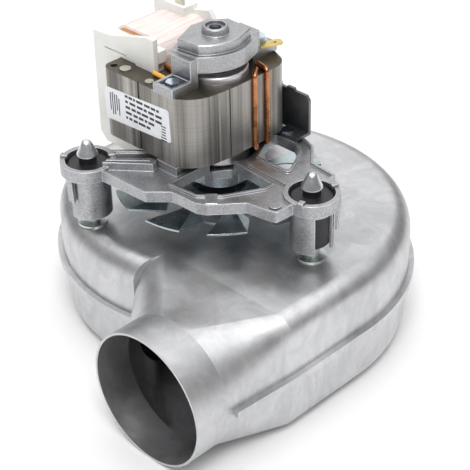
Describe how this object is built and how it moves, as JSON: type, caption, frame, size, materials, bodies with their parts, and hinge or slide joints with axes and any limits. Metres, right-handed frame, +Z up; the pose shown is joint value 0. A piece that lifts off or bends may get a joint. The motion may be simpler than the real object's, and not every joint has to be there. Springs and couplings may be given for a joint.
{
  "type": "combustion fan",
  "caption": "Flue gas fan for a gas boiler: aluminium scroll housing with a round outlet spigot, carrying a shaded-pole motor with its own cooling fan on three rubber mounts.",
  "frame": {"origin": "centre of the inlet mouth, on the shaft axis in the plane of the housing's base", "axes": "+Z up the shaft from the inlet to the motor, -Y along the outlet spigot towards its mouth, +X to the spigot's side of the housing"},
  "size_m": [0.1716, 0.1811, 0.1442],
  "materials": {
    "scroll_sheet": "satin pressed sheet",
    "inlet_sheet": "satin spun sheet",
    "cast_frame": "fine-grained die casting",
    "cast_bracket": "fine-grained die casting",
    "rubber": "satin black",
    "turned_zinc": "turned and zinc plated",
    "zinc_spacer": "pale yellow-green zinc",
    "laminations": "dull rolled electrical steel",
    "rivets": "zinc plated",
    "copper_rings": "aged copper",
    "nylon": "white nylon",
    "coil_wire": "enamelled copper",
    "coil_wrap": "pinkish translucent tape",
    "tinned_terminals": "tinned",
    "lead_sleeve": "orange sleeve",
    "zinc_screws": "blue zinc",
    "brass_tab": "plain brass",
    "label": "white film",
    "dark_sheet": "dark grey sheet",
    "sintered": "oiled sintered bronze",
    "spring_steel": "spring steel",
    "ground_steel": "ground shaft",
    "rotor_steel": "turned laminations",
    "cast_ring": "rough casting",
    "fan_sheet": "blue-green zinc sheet",
    "impeller_sheet": "plain sheet"
  },
  "bodies": {
    "housing": {"upper_scroll_shell": "scroll_sheet", "lower_scroll_shell": "scroll_sheet", "inlet_ring": "inlet_sheet", "shaft_seal_plate": "inlet_sheet", "motor_studs": "zinc_spacer", "mount_spacers": "zinc_spacer", "rubber_mount_right": "rubber", "rubber_mount_back": "rubber", "rubber_mount_left": "rubber", "cone_nut_right": "turned_zinc", "cone_nut_back": "turned_zinc", "cone_nut_left": "turned_zinc", "motor_frame": "cast_frame", "lower_bearing": "sintered", "upper_bearing": "sintered", "bearing_clips": "spring_steel", "stator_stack": "laminations", "coil_core": "laminations", "stack_rivets": "rivets", "shading_rings_right": "copper_rings", "shading_rings_left": "copper_rings", "coil_bobbin": "nylon", "coil_winding": "coil_wire", "coil_tape": "coil_wrap", "coil_terminals": "tinned_terminals", "thermal_link_lead": "lead_sleeve", "top_bearing_bracket": "cast_bracket", "bracket_screws": "zinc_screws", "earth_tab": "brass_tab", "rating_label": "label", "guard_plate": "dark_sheet", "guard_plate_screw": "zinc_screws"},
    "rotor": {"shaft": "ground_steel", "rotor_core": "rotor_steel", "upper_end_ring": "cast_ring", "lower_end_ring": "cast_ring", "cooling_fan": "fan_sheet", "cooling_fan_collar": "fan_sheet", "impeller_hub": "impeller_sheet", "impeller_backplate": "impeller_sheet", "impeller_shroud": "impeller_sheet", "impeller_blades": "impeller_sheet", "impeller_washer": "impeller_sheet", "impeller_nut": "impeller_sheet", "thrust_washers": "spring_steel"}
  },
  "joints": [
    {"name": "rotor_spin", "type": "hinge", "parent": "housing", "child": "rotor", "pos_m": [0, 0, 0.078], "axis": [0, 0, 1], "continuous": true}
  ]
}
